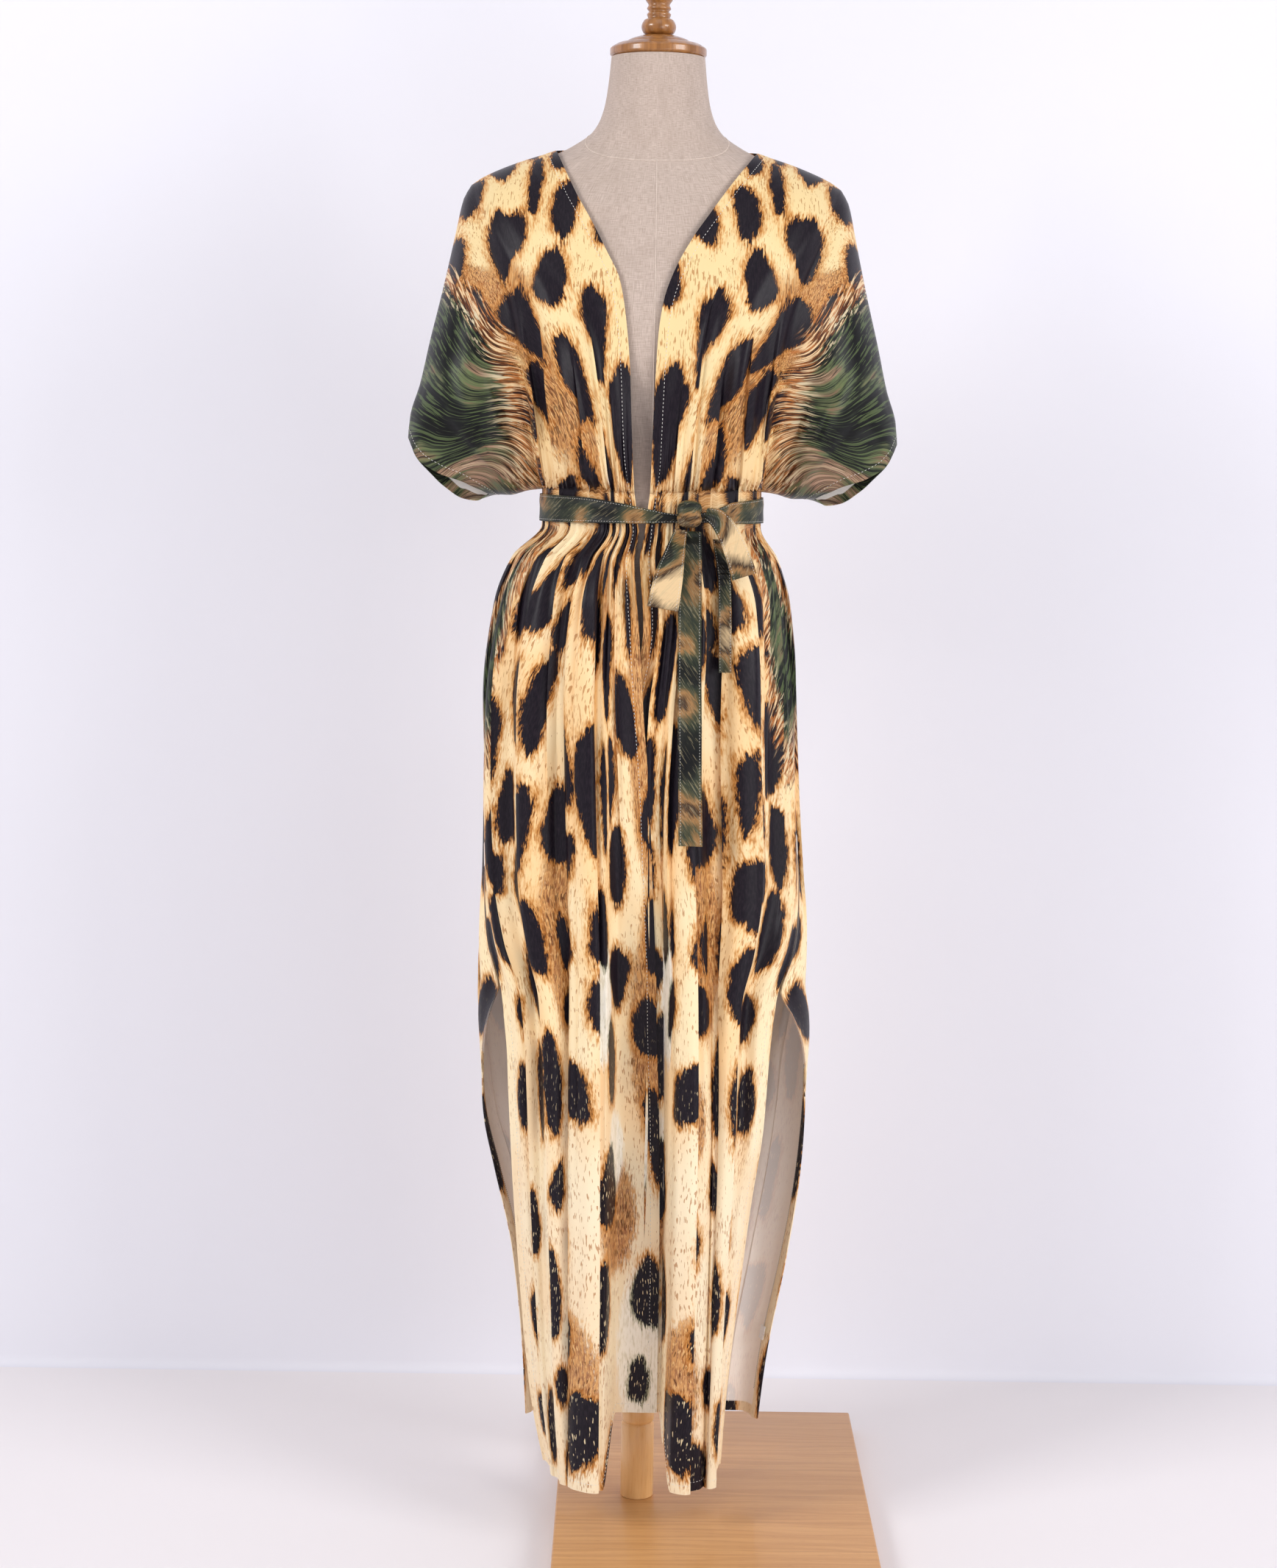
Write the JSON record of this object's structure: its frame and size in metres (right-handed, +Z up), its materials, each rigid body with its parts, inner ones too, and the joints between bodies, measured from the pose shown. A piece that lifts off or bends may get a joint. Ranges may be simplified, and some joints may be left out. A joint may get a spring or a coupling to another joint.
{
  "type": "kimono coat on a limbless dress form",
  "caption": "Ankle-length open kimono coat with batwing sleeves, side slits and a bow belt, worn by a linen dress form on a wooden pole and board",
  "frame": {"origin": "on the floor on the pole's axis, the bottom centre of the bounding box", "axes": "+Z up, the front faces -Y, +X is the wearer's left"},
  "size_m": [0.513, 0.546, 1.6655],
  "materials": {
    "printed_satin": "thin satin with a soft sheen, animal-skin print in golden tan, cream and near-black",
    "belt_satin": "thin satin printed in dark green and brown fur tones",
    "label_satin": "blank white woven label",
    "linen": "plain beige-grey linen stretched over foam",
    "varnished_wood": "pale wood with a clear satin varnish"
  },
  "bodies": {
    "root": {"front_right": "printed_satin", "front_left": "printed_satin", "back": "printed_satin", "belt_waist": "belt_satin", "belt_knot": "belt_satin", "belt_loop_small": "belt_satin", "belt_loop_large": "belt_satin", "belt_tail_long": "belt_satin", "belt_tail_short": "belt_satin", "care_label": "label_satin", "form_torso": "linen", "neck_cap": "varnished_wood", "finial": "varnished_wood", "pole": "varnished_wood", "base_board": "varnished_wood"}
  },
  "joints": []
}
